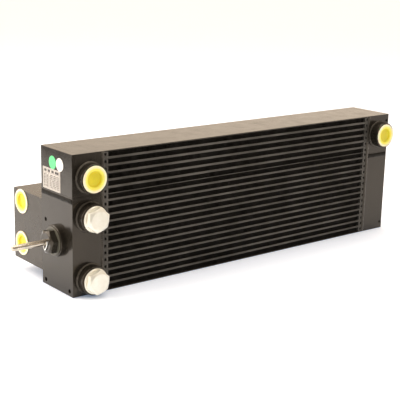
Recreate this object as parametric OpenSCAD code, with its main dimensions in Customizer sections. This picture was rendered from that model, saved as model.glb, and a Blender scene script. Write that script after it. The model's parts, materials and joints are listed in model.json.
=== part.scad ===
// Two-circuit bar-and-plate hydraulic oil cooler with a rear port block and a bypass valve.
// Origin: centre of the bottom face of the core. +X runs along the core, -Y is the front, +Z is up.
// The sub-parts are drawn from the front left bottom corner and moved to that origin by in_frame().

/* [Overall] */
// Length over both header tanks
cooler_l = 728; // [600:1:900]
// Depth of the core and the tanks, front to back
cooler_d = 94.5; // [78:0.5:120]

/* [Core] */
// Oil channels in the upper circuit
upper_channels = 5; // [4:1:8]
// Oil channels in the lower circuit
lower_channels = 13; // [12:1:16]
// Lower-circuit channels that feed the lower pass
pass_channels = 7; // [6:1:8]
// Clear height of an air passage
air_h = 8.2; // [6.8:0.1:10]
// Clear height of an upper-circuit oil channel
upper_oil_h = 2.6; // [2:0.1:4]
// Clear height of a lower-circuit oil channel
lower_oil_h = 2.2; // [1.8:0.1:4]
// Thickness of a parting sheet
sheet_t = 0.6; // [0.4:0.1:1]
// Thickness of the sheet between the two circuits
separator_t = 1.0; // [0.8:0.1:2]
// Thickness of the core's top and bottom plates
plate_t = 1.9; // [1.5:0.1:3]
// Width of a long bar that closes an oil channel
oil_bar_w = 8; // [6:0.5:10]
// Width of a short bar that closes an air passage
air_bar_w = 11; // [9:0.5:14]
// Width of the hollow in a short bar
air_bar_hollow_w = 4; // [2:0.5:5]
// Height of the hollow in a short bar
air_bar_hollow_h = 5; // [3:0.5:5]
// Distance that the air fins stand back from the core's faces
fin_inset = 1.6; // [1:0.1:3]
// Thickness of the air fin sheet
fin_t = 0.7; // [0.4:0.1:1]
// Length of one air fin wave
fin_wave = 22; // [12:1:30]
// Thickness of the turbulator sheet
turbulator_t = 0.4; // [0.3:0.1:0.6]
// Width of one turbulator wave
turbulator_wave = 12; // [8:1:16]

/* [Header tanks] */
// Length of a header tank, from its end face to the core
tank_l = 56; // [54:1:70]
// Thickness of a tank's end wall
end_wall = 12; // [11:0.5:14]
// Thickness of a tank's front and rear walls
side_wall = 6; // [4:0.5:8]
// Thickness of the block that closes a tank at the top or bottom
cap_t = 12; // [9:0.5:14]
// Distance that the core's top and bottom plates reach over each tank
plate_lap = 9; // [5:0.5:14]
// Thickness of the plate between an upper and a lower tank
divider_t = 6; // [4:0.5:6.5]
// How much higher the left tank's divider is than the right one's
left_divider_rise = 4.5; // [0:0.1:6]
// Thickness of the baffle between the two passes of the lower circuit
baffle_t = 3; // [2:0.5:5]

/* [Ports] */
// Diameter of the ports' thread
port_thread_d = 31; // [24:0.5:32]
// Length of the ports' thread
port_thread_l = 17; // [15:0.5:17]
// Diameter of the seal recess at a port's mouth
port_mouth_d = 36; // [33:0.5:38]
// Depth of the seal recess at a port's mouth
port_mouth_depth = 4; // [3:0.1:4]
// Outer diameter of a port boss
boss_d = 48; // [44:0.5:50]
// Distance that a port boss stands out from its tank
boss_h = 15; // [14:0.5:18]
// Diameter of a port boss's spigot through the tank wall
boss_spigot_d = 38; // [36:0.5:40]
// Leg of the weld around a port boss
boss_weld = 2.4; // [1.5:0.1:2.8]
// Distance that the upper right port's boss stands out
right_boss_h = 18.5; // [14:0.5:22]
// Distance from the left end face to the left ports
left_port_in = 32; // [28:0.5:34]
// Distance from the right end face to the right port
right_port_in = 27.5; // [27:0.5:34]
// Distance from the top face down to the upper left port
left_port_drop = 39.5; // [38:0.5:42]
// Distance from the top face down to the upper right port
right_port_drop = 37.5; // [37:0.5:42]
// Height of the middle left port
mid_port_z = 128.8; // [125:0.2:130]
// Height of the lower left port
low_port_z = 26.6; // [26.6:0.2:32]

/* [Port block] */
// Length of the port block along the core
block_l = 53; // [51:0.5:56]
// Distance that the port block stands out behind the tank
block_w = 93; // [84:0.5:110]
// Height of the port block's bottom face
block_z = 21.5; // [10:0.5:26]
// Height of the port block
block_h = 122; // [110:0.5:130]
// Distance from the tank's rear face to the block's ports
block_port_out = 66.5; // [40:0.5:70]
// Height of the block's upper port
block_upper_z = 124; // [120:0.5:124]
// Height of the block's lower port
block_lower_z = 51; // [45:0.5:51]
// Diameter of the oil passages in the block
passage_d = 24; // [18:0.5:25]

/* [Yellow port caps] */
// Diameter of the cap's flange on a boss
cap_flange_d = 43.4; // [40:0.2:46]
// Diameter of the cap's flange on the block
block_cap_flange_d = 41.4; // [40:0.2:46]
// Thickness of a cap's flange
cap_flange_t = 1.6; // [1:0.1:5]
// Length of a cap's shank
cap_shank_l = 3.6; // [2:0.1:3.7]
// Diameter of a cap's finger recess
cap_recess_d = 25.4; // [20:0.2:28]
// Thickness of a cap's floor
cap_floor_t = 1.4; // [1:0.1:2]

/* [Hex plugs] */
// Diameter of a plug's collar
plug_collar_d = 42.6; // [40:0.2:46]
// Thickness of a plug's collar
plug_collar_t = 4.2; // [3:0.1:6]
// Width across the flats of a plug's head
plug_hex_af = 36; // [30:1:38]
// Height of a plug's head
plug_hex_h = 10.5; // [8:0.5:14]
// Turn of a plug's head from corners level
plug_hex_turn = 20; // [0:5:60]
// Length of a plug below its collar
plug_l = 12.7; // [10:0.1:14]
// Diameter of a plug's neck under the collar
plug_neck_d = 28.4; // [24:0.2:29]
// Thickness of a plug's seal ring
plug_seal_d = 3.2; // [2.4:0.1:3.4]

/* [Bypass valve] */
// Distance from the front face to the valve's axis
valve_in = 46; // [44:0.5:50]
// Height of the valve's axis
valve_z = 84.6; // [84:0.2:86]
// Diameter of the valve's boss
valve_boss_d = 52.2; // [46:0.2:56]
// Height of the valve's boss
valve_boss_h = 8.5; // [6:0.5:12]
// Diameter of the valve's sealing washer
valve_washer_d = 47; // [40:0.5:48]
// Thickness of the valve's sealing washer
valve_washer_t = 1.5; // [1:0.1:3]
// Width across the flats of the valve's head
valve_hex_af = 36; // [34:1:38]
// Length of the valve's head
valve_head_l = 12; // [9:0.5:16]
// Turn of the valve's head from a level flat on top, with its front side up
valve_hex_turn = 10; // [0:1:59]
// Diameter of the valve body in the tank wall
valve_spigot_d = 30; // [28:0.2:31]
// Diameter of the stem
stem_d = 10; // [7:0.2:11]
// Distance that the stem stands out from the valve's head
stem_out = 60; // [30:1:64]
// Diameter of the spring chamber
spring_chamber_d = 24; // [22:0.5:25]
// Diameter of the hole that the poppet closes
seat_d = 14; // [10:0.5:16]
// Distance from the tank's end face to the seat
seat_in = 36; // [35:0.5:37]
// Thickness of the poppet
poppet_t = 4; // [3:0.5:5]
// Diameter of the spring wire
spring_wire_d = 2.2; // [1.6:0.1:2.6]
// Number of working turns of the spring
spring_turns = 6; // [4:1:8]
// Diameter of the wire of the stem clip
clip_wire_d = 2; // [1.5:0.1:2.5]
// Half the height of the block that holds the valve inside the tank
bridge_half_h = 19.2; // [18:0.1:19.4]
// Length of the block that holds the valve, from the tank's end wall
bridge_l = 38; // [37:0.5:40]

/* [Mounting holes] */
// Diameter of the tapped holes in the end faces
end_hole_d = 6.8; // [5:0.1:8.5]
// Depth of the tapped holes in the end faces
end_hole_depth = 11; // [8:0.5:11]
// Height of the tapped holes in the end faces
end_hole_z = 8; // [6:0.5:10]
// Distance from the front or rear face to an end-face hole
end_hole_in = 10.5; // [9:0.5:14]
// Diameter of the small tapped holes at the right front edge
edge_hole_d = 4.2; // [3:0.1:5]
// Depth of the small tapped holes
edge_hole_depth = 12; // [8:0.5:16]
// Distance from the right end face to the small tapped holes
edge_hole_in = 5.5; // [5:0.1:6]
// Distance from the top or bottom face to a small tapped hole
edge_hole_z = 12.5; // [9:0.5:16]
// Diameter of the plug in the drilled oil gallery
gallery_d = 7; // [5:0.5:9]
// Depth of the gallery plug below the end face
gallery_recess = 1.2; // [0.5:0.1:2]
// Length of the gallery plug
gallery_plug_l = 5; // [3:0.5:8]
// Distance from the rear face to the gallery plug
gallery_in = 12.5; // [10:0.5:16]
// Height of the gallery plug above the valve's axis
gallery_rise = 27; // [26:0.5:34]

/* [Labels] */
// Width of the rating label
label_w = 53; // [40:1:60]
// Height of the rating label
label_h = 35; // [25:1:38]
// Thickness of the label and the dots
label_t = 0.3; // [0.2:0.1:0.5]
// Distance from the rear face to the label's front edge
label_in = 59.5; // [56:0.5:70]
// Height of the label above the plate between the tanks
label_rise = 0.8; // [0.5:0.1:6]
// Diameter of the inspection dots
dot_d = 21.4; // [16:0.2:21.6]
// Distance from the top face down to the dots' centres
dot_drop = 22.4; // [18:0.2:24]
// Distance from the rear face to the green dot's centre
green_dot_in = 36.1; // [30:0.1:36.1]
// Distance from the rear face to the white dot's centre
white_dot_in = 58; // [58:0.5:70]

/* [Clearances] */
// Radial gap around a cap's shank and a plug's seal ring
cap_gap = 0.2; // [0.1:0.05:0.4]
// Radial gap of a plug's thread in its port
thread_gap = 0.08; // [0.05:0.01:0.15]
// Radial gap of the valve body in its bore
valve_gap = 0.1; // [0.05:0.01:0.2]
// Radial gap of the stem in its guide
stem_gap = 0.05; // [0.03:0.01:0.1]
// Small gap between the poppet and its seat, and at each end of the spring
seat_gap = 0.1; // [0.05:0.05:0.3]

/* [Hidden] */
$fn = 72;
eps = 1;
paint = [0.13, 0.12, 0.11];
bare_steel = [0.62, 0.57, 0.48];
zinc = [0.90, 0.87, 0.78];
cap_yellow = [0.96, 0.87, 0.12];
rubber_black = [0.05, 0.05, 0.05];

lower_ch = lower_oil_h + 2 * sheet_t;
upper_ch = upper_oil_h + 2 * sheet_t;
separator_z = plate_t + air_h * (lower_channels + 1) + lower_ch * lower_channels;
upper_core_z = separator_z + separator_t;
cooler_h = upper_core_z + air_h * (upper_channels + 1) + upper_ch * upper_channels + plate_t;
core_l = cooler_l - 2 * tank_l;
plate_x = tank_l - plate_lap;
divider_z = separator_z - air_h;
left_divider_z = divider_z + left_divider_rise;
baffle_z = plate_t + air_h * (pass_channels + 0.5) + lower_ch * pass_channels;

// Each oil channel as [height of its lower sheet, clear height]
channels = concat(
    [for (i = [0 : lower_channels - 1]) [plate_t + air_h + i * (air_h + lower_ch), lower_oil_h]],
    [for (i = [0 : upper_channels - 1]) [upper_core_z + air_h + i * (air_h + upper_ch), upper_oil_h]]
);
// Height of the bottom of each air passage
passages = concat(
    [for (i = [0 : lower_channels]) plate_t + i * (air_h + lower_ch)],
    [for (i = [0 : upper_channels]) upper_core_z + i * (air_h + upper_ch)]
);

left_upper_z = cooler_h - left_port_drop;
right_upper_z = cooler_h - right_port_drop;
right_port_x = cooler_l - right_port_in;
// Each front port as [x, z, boss height]
front_ports = [
    [left_port_in, left_upper_z, boss_h],
    [left_port_in, mid_port_z, boss_h],
    [left_port_in, low_port_z, boss_h],
    [right_port_x, right_upper_z, right_boss_h]
];
block_y = cooler_d;
block_port_y = cooler_d + block_port_out;
block_port_zs = [block_upper_z, block_lower_z];
passage_wall = 5;
passage_x = block_l - passage_wall - passage_d / 2;
shank_d = port_mouth_d - 2 * cap_gap;
plug_thread_d = port_thread_d - 2 * thread_gap;
plug_seal_ring_d = (plug_neck_d + port_mouth_d) / 2;
plug_seal_y = boss_h - port_mouth_depth / 2;

valve_bore_d = valve_spigot_d + 2 * valve_gap;
head_x = -(valve_boss_h + valve_washer_t);
head_face_x = head_x - valve_head_l;
spigot_reach = 4;
spigot_end_x = end_wall + spigot_reach;
pocket_x = 1;
poppet_x = seat_in - seat_gap - poppet_t;
stem_tip_x = head_face_x - stem_out;
spring_r = (spring_chamber_d + stem_d) / 4;
seal_groove_x = head_face_x + valve_head_l / 2;
stem_seal_d = 2;
stem_seal_gap = 0.2;
seal_ring_d = stem_d + stem_seal_d + 2 * stem_seal_gap;
seal_groove_d = seal_ring_d + stem_seal_d + 2 * stem_seal_gap;
seal_groove_w = stem_seal_d + 2 * stem_seal_gap;
stem_bore_d = stem_d + 2 * stem_gap;
stem_chamfer = 1.4;
poppet_rim = 2.5;
poppet_nose = 3;
nose_gap = 0.5;
nose_d = seat_d - 2 * nose_gap;
bridge_drill_d = 10;
drill_margin = 1.5;
inlet_x = seat_in + bridge_drill_d / 2 + drill_margin;
outlet_x = spigot_end_x + bridge_drill_d / 2 + drill_margin;
gallery_y = cooler_d - gallery_in;
gallery_z = valve_z + gallery_rise;

// Chamfers on a hexagon's face and on a cap's rim
hex_chamfer_h = 3.2;
hex_chamfer_in = 2.8;
cap_chamfer = 0.5;

// Spring wire as a swept round section; ring i of the sweep is a polygon of wire_sides points
wire_sides = 8;
steps_per_turn = 16;
spring_x0 = pocket_x + seat_gap + spring_wire_d / 2;
spring_x1 = poppet_x - seat_gap - spring_wire_d / 2;
spring_rings = spring_turns * steps_per_turn;

// The stem clip's two legs, from above the stem to the tip below it
clip_gap = 0.6;
clip_half_w = stem_d / 2 + clip_wire_d / 2 + clip_gap;
clip_reach = 3;
clip_tip = 12.5;
clip_foot = 0.8;

// Weld beads as [width, height]
seam_bead = [6.5, 1.4];
core_bead = [7, 1.2];
bead_gap = 0.5;
front_seam_l = tank_l - core_bead[0] / 2 - bead_gap;
block_weld = 5;

label_y = cooler_d - label_in;
label_z = left_divider_z + divider_t + label_rise;
dot_z = cooler_h - dot_drop;

// Moves what is drawn from the front left bottom corner to the frame's origin
module in_frame() {
    translate([-cooler_l / 2, -cooler_d / 2, 0]) children();
}

// Draws a left-hand piece at the right-hand end
module at_right() {
    translate([cooler_l, 0, 0]) mirror([1, 0, 0]) children();
}

// A cylinder of diameter d and length l along +Y from a point
module rod_y(p, d, l) {
    translate(p) rotate([-90, 0, 0]) cylinder(d = d, h = l);
}

// The same along +X
module rod_x(p, d, l) {
    translate(p) rotate([0, 90, 0]) cylinder(d = d, h = l);
}

// Closed outline of a square-wave sheet of thickness t and height h, with n webs a step apart
function web_side(k) = k % 2 == 0 ? -1 : 1;
function wave_side(step, h, t, n, s) = [
    for (i = [0 : 2 * n - 1])
        let (k = floor(i / 2), high = floor((i + 1) / 2) % 2)
        [k * step + s * t / 2 * web_side(k), t / 2 + high * (h - t) + s * t / 2]
];
function reversed(v) = [for (i = [len(v) - 1 : -1 : 0]) v[i]];
function wave_outline(step, h, t, n) =
    concat(wave_side(step, h, t, n, 1), reversed(wave_side(step, h, t, n, -1)));

// A corrugated sheet that fills a width w and a height h, drawn in the XY plane
module wave_sheet(w, wave, h, t) {
    webs = 2 * floor((w - t) / wave) + 1;
    step = (w - t) / (webs - 1);
    translate([t / 2, 0]) polygon(wave_outline(step, h, t, webs));
}

// ---- Core ----

module core_plate(z) {
    translate([plate_x, 0, z]) cube([cooler_l - 2 * plate_x, cooler_d, plate_t]);
}

module core_top_plate() {
    color(paint) in_frame() core_plate(cooler_h - plate_t);
}

module core_bottom_plate() {
    color(paint) in_frame() core_plate(0);
}

module parting_sheets() {
    color(paint) in_frame()
        for (c = channels, z = [c[0], c[0] + sheet_t + c[1]])
            translate([tank_l, 0, z]) cube([core_l, cooler_d, sheet_t]);
}

module separator_plate() {
    color(paint) in_frame()
        translate([tank_l, 0, separator_z]) cube([core_l, cooler_d, separator_t]);
}

module oil_bars(y) {
    for (c = channels)
        translate([tank_l, y, c[0] + sheet_t]) cube([core_l, oil_bar_w, c[1]]);
}

module oil_bars_front() {
    color(paint) in_frame() oil_bars(0);
}

module oil_bars_rear() {
    color(paint) in_frame() oil_bars(cooler_d - oil_bar_w);
}

// Short bars are hollow extrusions, so their open ends show at the core's faces
module air_bars() {
    for (z = passages)
        difference() {
            translate([tank_l, 0, z]) cube([air_bar_w, cooler_d, air_h]);
            translate([tank_l + (air_bar_w - air_bar_hollow_w) / 2, -eps, z + (air_h - air_bar_hollow_h) / 2])
                cube([air_bar_hollow_w, cooler_d + 2 * eps, air_bar_hollow_h]);
        }
}

module air_bars_left() {
    color(paint) in_frame() air_bars();
}

module air_bars_right() {
    color(paint) in_frame() at_right() air_bars();
}

module air_fins() {
    color(paint) in_frame()
        for (z = passages)
            translate([tank_l + air_bar_w, cooler_d - fin_inset, z])
                rotate([90, 0, 0])
                    linear_extrude(cooler_d - 2 * fin_inset)
                        wave_sheet(core_l - 2 * air_bar_w, fin_wave, air_h, fin_t);
}

module oil_turbulators() {
    color("silver") in_frame()
        for (c = channels)
            translate([tank_l, oil_bar_w, c[0] + sheet_t])
                rotate([90, 0, 90])
                    linear_extrude(core_l)
                        wave_sheet(cooler_d - 2 * oil_bar_w, turbulator_wave, c[1], turbulator_t);
}

// ---- Header tanks ----

// The core's plates lap over the tanks, so the walls and caps are cut down for them
module plate_cuts() {
    for (z = [-eps, cooler_h - plate_t])
        translate([plate_x, -eps, z]) cube([tank_l, cooler_d + 2 * eps, plate_t + eps]);
}

// A tank is a U channel, open towards the core
module tank_shell(z0, z1) {
    difference() {
        translate([0, 0, z0]) cube([tank_l, cooler_d, z1 - z0]);
        translate([end_wall, side_wall, z0 - eps])
            cube([tank_l, cooler_d - 2 * side_wall, z1 - z0 + 2 * eps]);
        plate_cuts();
    }
}

module boss_hole(x, z) {
    rod_y([x, -eps, z], boss_spigot_d, side_wall + 2 * eps);
}

module end_holes() {
    for (y = [end_hole_in, cooler_d - end_hole_in])
        rod_x([-eps, y, end_hole_z], end_hole_d, end_hole_depth + eps);
}

module edge_hole(z) {
    rod_y([edge_hole_in, -eps, z], edge_hole_d, edge_hole_depth + eps);
}

module left_upper_tank() {
    color(paint) in_frame()
        difference() {
            tank_shell(left_divider_z + divider_t, cooler_h);
            boss_hole(left_port_in, left_upper_z);
        }
}

module left_lower_tank() {
    color(paint) in_frame()
        difference() {
            tank_shell(0, left_divider_z);
            boss_hole(left_port_in, mid_port_z);
            boss_hole(left_port_in, low_port_z);
            end_holes();
            rod_x([-eps, valve_in, valve_z], valve_bore_d, end_wall + 2 * eps);
            rod_x([-eps, gallery_y, gallery_z], gallery_d, gallery_recess + gallery_plug_l + eps);
            for (z = block_port_zs)
                rod_y([passage_x, cooler_d - side_wall - eps, z], passage_d, side_wall + 2 * eps);
        }
}

module right_upper_tank() {
    color(paint) in_frame() at_right()
        difference() {
            tank_shell(divider_z + divider_t, cooler_h);
            boss_hole(right_port_in, right_upper_z);
            edge_hole(cooler_h - edge_hole_z);
        }
}

module right_lower_tank() {
    color(paint) in_frame() at_right()
        difference() {
            tank_shell(0, divider_z);
            end_holes();
            edge_hole(edge_hole_z);
        }
}

module tank_cap(z) {
    difference() {
        translate([end_wall, side_wall, z])
            cube([tank_l - end_wall, cooler_d - 2 * side_wall, cap_t]);
        plate_cuts();
    }
}

module left_top_cap() {
    color(paint) in_frame() tank_cap(cooler_h - cap_t);
}

module left_bottom_cap() {
    color(paint) in_frame() tank_cap(0);
}

module right_top_cap() {
    color(paint) in_frame() at_right() tank_cap(cooler_h - cap_t);
}

module right_bottom_cap() {
    color(paint) in_frame() at_right() tank_cap(0);
}

module divider(z) {
    translate([0, 0, z]) cube([tank_l, cooler_d, divider_t]);
}

module left_divider() {
    color(paint) in_frame() divider(left_divider_z);
}

module right_divider() {
    color(paint) in_frame() at_right() divider(divider_z);
}

// The block that holds the valve also parts the two passes of the lower circuit
module valve_bridge() {
    color("silver") in_frame()
        difference() {
            translate([end_wall, side_wall, valve_z - bridge_half_h])
                cube([bridge_l, cooler_d - 2 * side_wall, 2 * bridge_half_h]);
            rod_x([-eps, valve_in, valve_z], valve_bore_d, spigot_end_x + seat_gap + eps);
            rod_x([end_wall, valve_in, valve_z], spring_chamber_d, seat_in - end_wall);
            rod_x([seat_in - eps, valve_in, valve_z], seat_d, inlet_x + bridge_drill_d / 2 - seat_in + eps);
            translate([inlet_x, valve_in, valve_z]) cylinder(d = bridge_drill_d, h = bridge_half_h + eps);
            translate([outlet_x, valve_in, valve_z - bridge_half_h - eps])
                cylinder(d = bridge_drill_d, h = bridge_half_h);
        }
}

module pass_baffle() {
    color("silver") in_frame()
        translate([end_wall + bridge_l, side_wall, baffle_z - baffle_t / 2])
            cube([tank_l - end_wall - bridge_l, cooler_d - 2 * side_wall, baffle_t]);
}

// ---- Ports ----

// A turned boss with a spigot through the tank wall, drawn with its mouth towards -Y
module port_boss(port) {
    x = port[0];
    z = port[1];
    h = port[2];
    difference() {
        union() {
            rod_y([x, -h, z], boss_d, h);
            rod_y([x, 0, z], boss_spigot_d, side_wall);
        }
        rod_y([x, -h - eps, z], port_mouth_d, port_mouth_depth + eps);
        rod_y([x, -h, z], port_thread_d, h + side_wall + eps);
    }
}

module upper_left_boss() {
    color(paint) in_frame() port_boss(front_ports[0]);
}

module middle_left_boss() {
    color(paint) in_frame() port_boss(front_ports[1]);
}

module lower_left_boss() {
    color(paint) in_frame() port_boss(front_ports[2]);
}

module upper_right_boss() {
    color(paint) in_frame() port_boss(front_ports[3]);
}

module port_block() {
    color(paint) in_frame()
        difference() {
            translate([0, block_y, block_z]) cube([block_l, block_w, block_h]);
            for (z = block_port_zs) {
                rod_x([-eps, block_port_y, z], port_mouth_d, port_mouth_depth + eps);
                rod_x([0, block_port_y, z], port_thread_d, port_mouth_depth + port_thread_l);
                rod_x([port_mouth_depth, block_port_y, z], passage_d, passage_x - port_mouth_depth);
                rod_y([passage_x, block_y - eps, z], passage_d, block_port_out + eps);
            }
        }
}

// A push-in cap drawn along +Z: its shank goes down to -Z and its flange rests on Z = 0
module port_cap(flange_d) {
    difference() {
        union() {
            rotate_extrude()
                polygon([
                    [0, 0], [flange_d / 2, 0], [flange_d / 2, cap_flange_t - cap_chamfer],
                    [flange_d / 2 - cap_chamfer, cap_flange_t], [0, cap_flange_t]
                ]);
            translate([0, 0, -cap_shank_l]) cylinder(d = shank_d, h = cap_shank_l);
        }
        translate([0, 0, cap_floor_t - cap_shank_l])
            cylinder(d = cap_recess_d, h = cap_flange_t + cap_shank_l + eps);
    }
}

module front_cap(port) {
    translate([port[0], -port[2], port[1]]) rotate([90, 0, 0]) port_cap(cap_flange_d);
}

module block_cap(z) {
    translate([0, block_port_y, z]) rotate([0, -90, 0]) port_cap(block_cap_flange_d);
}

module upper_left_port_cap() {
    color(cap_yellow) in_frame() front_cap(front_ports[0]);
}

module upper_right_port_cap() {
    color(cap_yellow) in_frame() front_cap(front_ports[3]);
}

module block_upper_port_cap() {
    color(cap_yellow) in_frame() block_cap(block_upper_z);
}

module block_lower_port_cap() {
    color(cap_yellow) in_frame() block_cap(block_lower_z);
}

// A hexagon with chamfered corners, from Z = 0 to its face at Z = h
module hex_head(af, h) {
    corner_d = af / cos(30);
    intersection() {
        cylinder(d = corner_d, h = h, $fn = 6);
        rotate_extrude()
            polygon([
                [0, 0], [corner_d / 2 + eps, 0], [corner_d / 2 + eps, h - hex_chamfer_h],
                [af / 2 - hex_chamfer_in, h], [0, h]
            ]);
    }
}

// A screw plug drawn along +Z, with its collar resting on Z = 0
module hex_plug() {
    union() {
        cylinder(d = plug_collar_d, h = plug_collar_t);
        translate([0, 0, plug_collar_t]) rotate([0, 0, plug_hex_turn]) hex_head(plug_hex_af, plug_hex_h);
        translate([0, 0, -port_mouth_depth]) cylinder(d = plug_neck_d, h = port_mouth_depth);
        translate([0, 0, -plug_l]) cylinder(d = plug_thread_d, h = plug_l - port_mouth_depth);
    }
}

module front_plug(z) {
    translate([left_port_in, -boss_h, z]) rotate([90, 0, 0]) hex_plug();
}

module middle_hex_plug() {
    color(zinc) in_frame() front_plug(mid_port_z);
}

module lower_hex_plug() {
    color(zinc) in_frame() front_plug(low_port_z);
}

// A round ring of mean diameter ring_d and section d about the Z axis
module ring(ring_d, d) {
    rotate_extrude() translate([ring_d / 2, 0]) circle(d = d, $fn = 32);
}

module plug_seal(z) {
    translate([left_port_in, -plug_seal_y, z]) rotate([90, 0, 0]) ring(plug_seal_ring_d, plug_seal_d);
}

module middle_plug_seal() {
    color(rubber_black) in_frame() plug_seal(mid_port_z);
}

module lower_plug_seal() {
    color(rubber_black) in_frame() plug_seal(low_port_z);
}

// ---- Bypass valve ----

module valve_boss() {
    color(paint) in_frame()
        difference() {
            rod_x([-valve_boss_h, valve_in, valve_z], valve_boss_d, valve_boss_h);
            rod_x([-valve_boss_h - eps, valve_in, valve_z], valve_bore_d, valve_boss_h + 2 * eps);
        }
}

module valve_washer() {
    color("gray") in_frame()
        difference() {
            rod_x([head_x, valve_in, valve_z], valve_washer_d, valve_washer_t);
            rod_x([head_x - eps, valve_in, valve_z], valve_bore_d, valve_washer_t + 2 * eps);
        }
}

module valve_body() {
    color(paint) in_frame()
        difference() {
            union() {
                translate([head_x, valve_in, valve_z])
                    rotate([-valve_hex_turn, 0, 0])
                        rotate([0, -90, 0]) rotate([0, 0, 90]) hex_head(valve_hex_af, valve_head_l);
                rod_x([head_x, valve_in, valve_z], valve_spigot_d, spigot_end_x - head_x);
            }
            rod_x([pocket_x, valve_in, valve_z], spring_chamber_d - 2 * valve_gap, spigot_end_x);
            rod_x([head_face_x - eps, valve_in, valve_z], stem_bore_d, pocket_x - head_face_x + 2 * eps);
            rod_x([seal_groove_x - seal_groove_w / 2, valve_in, valve_z], seal_groove_d, seal_groove_w);
        }
}

module valve_stem() {
    color(bare_steel) in_frame()
        translate([stem_tip_x, valve_in, valve_z]) rotate([0, 90, 0]) {
            cylinder(d1 = stem_d - 2 * stem_chamfer, d2 = stem_d, h = stem_chamfer);
            translate([0, 0, stem_chamfer])
                cylinder(d = stem_d, h = poppet_x - stem_tip_x - stem_chamfer);
        }
}

module valve_poppet() {
    color(bare_steel) in_frame()
        translate([poppet_x, valve_in, valve_z]) rotate([0, 90, 0]) {
            cylinder(d = seat_d + 2 * poppet_rim, h = poppet_t);
            translate([0, 0, poppet_t])
                cylinder(d1 = nose_d, d2 = nose_d - poppet_nose, h = poppet_nose);
        }
}

spring_points = [
    for (i = [0 : spring_rings], s = [0 : wire_sides - 1])
        let (
            turn = 360 * i / steps_per_turn,
            side = 360 * s / wire_sides,
            r = spring_r + spring_wire_d / 2 * cos(side)
        )
        [
            spring_x0 + (spring_x1 - spring_x0) * i / spring_rings + spring_wire_d / 2 * sin(side),
            r * cos(turn),
            r * sin(turn)
        ]
];
spring_faces = concat(
    [[for (s = [0 : wire_sides - 1]) s]],
    [
        for (i = [0 : spring_rings - 1], s = [0 : wire_sides - 1])
            let (a = i * wire_sides, t = (s + 1) % wire_sides)
            [a + s, a + wire_sides + s, a + wire_sides + t, a + t]
    ],
    [[for (s = [wire_sides - 1 : -1 : 0]) spring_rings * wire_sides + s]]
);

module valve_spring() {
    color("silver") in_frame()
        translate([0, valve_in, valve_z]) polyhedron(spring_points, spring_faces, convexity = 8);
}

module stem_seal() {
    color(rubber_black) in_frame()
        translate([seal_groove_x, valve_in, valve_z]) rotate([0, 90, 0])
            ring(seal_ring_d, stem_seal_d);
}

// A spring clip of bent wire on the valve's face: two legs beside the stem that meet below it
clip_wire = [
    for (s = [-1, 1])
        [[s * clip_half_w, clip_reach], [s * clip_half_w, -clip_reach], [s * clip_foot, -clip_tip]]
];

module stem_clip() {
    color(zinc) in_frame()
        translate([head_face_x - clip_wire_d / 2, valve_in, valve_z])
            for (leg = clip_wire, i = [0, 1])
                hull()
                    for (p = [leg[i], leg[i + 1]])
                        translate([0, p[0], p[1]]) sphere(d = clip_wire_d, $fn = 16);
}

module gallery_plug() {
    color(paint) in_frame() rod_x([gallery_recess, gallery_y, gallery_z], gallery_d, gallery_plug_l);
}

// ---- Welds ----

// Section of a weld bead [width, height], with its flat on the X axis
module bead_section(bead) {
    w = bead[0];
    h = bead[1];
    r = (w * w / 4 + h * h) / (2 * h);
    intersection() {
        translate([0, h - r]) circle(r, $fn = 64);
        translate([-w / 2, 0]) square([w, h]);
    }
}

// A bead on the end face, along the lower edge of a divider
module end_seam(z) {
    translate([0, cooler_d, z]) rotate([90, -90, 0])
        linear_extrude(cooler_d) bead_section(seam_bead);
}

// The same bead on the front face
module front_seam(z) {
    translate([0, 0, z]) rotate([180, -90, 0])
        linear_extrude(front_seam_l) bead_section(seam_bead);
}

module rear_seam(z) {
    translate([0, cooler_d, 0]) mirror([0, 1, 0]) front_seam(z);
}

module left_seam_weld() {
    color(paint) in_frame() {
        end_seam(left_divider_z);
        rear_seam(left_divider_z);
    }
}

module right_seam_weld() {
    color(paint) in_frame() at_right() {
        end_seam(divider_z);
        front_seam(divider_z);
        rear_seam(divider_z);
    }
}

// Upright beads between the tanks and the core, which stop at the port bosses and the port block
module core_welds() {
    color(paint) in_frame()
        for (x = [tank_l, cooler_l - tank_l]) {
            difference() {
                translate([x, 0, 0]) rotate([0, 0, 180])
                    linear_extrude(cooler_h) bead_section(core_bead);
                for (port = front_ports)
                    rod_y([port[0], -port[2], port[1]], boss_d + 2 * boss_weld, port[2]);
            }
            difference() {
                translate([x, cooler_d, 0])
                    linear_extrude(cooler_h) bead_section(core_bead);
                translate([-eps, block_y, block_z - block_weld])
                    cube([block_l + bead_gap + eps, block_w, block_h + 2 * block_weld]);
            }
        }
}

module boss_weld_ring(x, z) {
    translate([x, 0, z]) rotate([90, 0, 0])
        difference() {
            cylinder(d1 = boss_d + 2 * boss_weld, d2 = boss_d, h = boss_weld);
            translate([0, 0, -eps]) cylinder(d = boss_d, h = boss_weld + 2 * eps);
        }
}

module boss_welds() {
    color(paint) in_frame()
        for (port = front_ports) boss_weld_ring(port[0], port[1]);
}

// Fillets where the port block's top and bottom faces meet the tank's rear face
module block_welds() {
    color(paint) in_frame()
        for (s = [[block_z, -1], [block_z + block_h, 1]])
            translate([0, block_y, s[0]]) rotate([90, 0, 90])
                linear_extrude(block_l)
                    polygon([[0, 0], [block_weld, 0], [0, s[1] * block_weld]]);
}

// ---- Labels ----

module rating_label() {
    color([0.80, 0.76, 0.72]) in_frame()
        translate([-label_t, label_y, label_z]) cube([label_t, label_w, label_h]);
}

module dot(rear_in) {
    rod_x([-label_t, cooler_d - rear_in, dot_z], dot_d, label_t);
}

module green_dot() {
    color([0.35, 0.88, 0.52]) in_frame() dot(green_dot_in);
}

module white_dot() {
    color([0.94, 0.92, 0.89]) in_frame() dot(white_dot_in);
}

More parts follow.
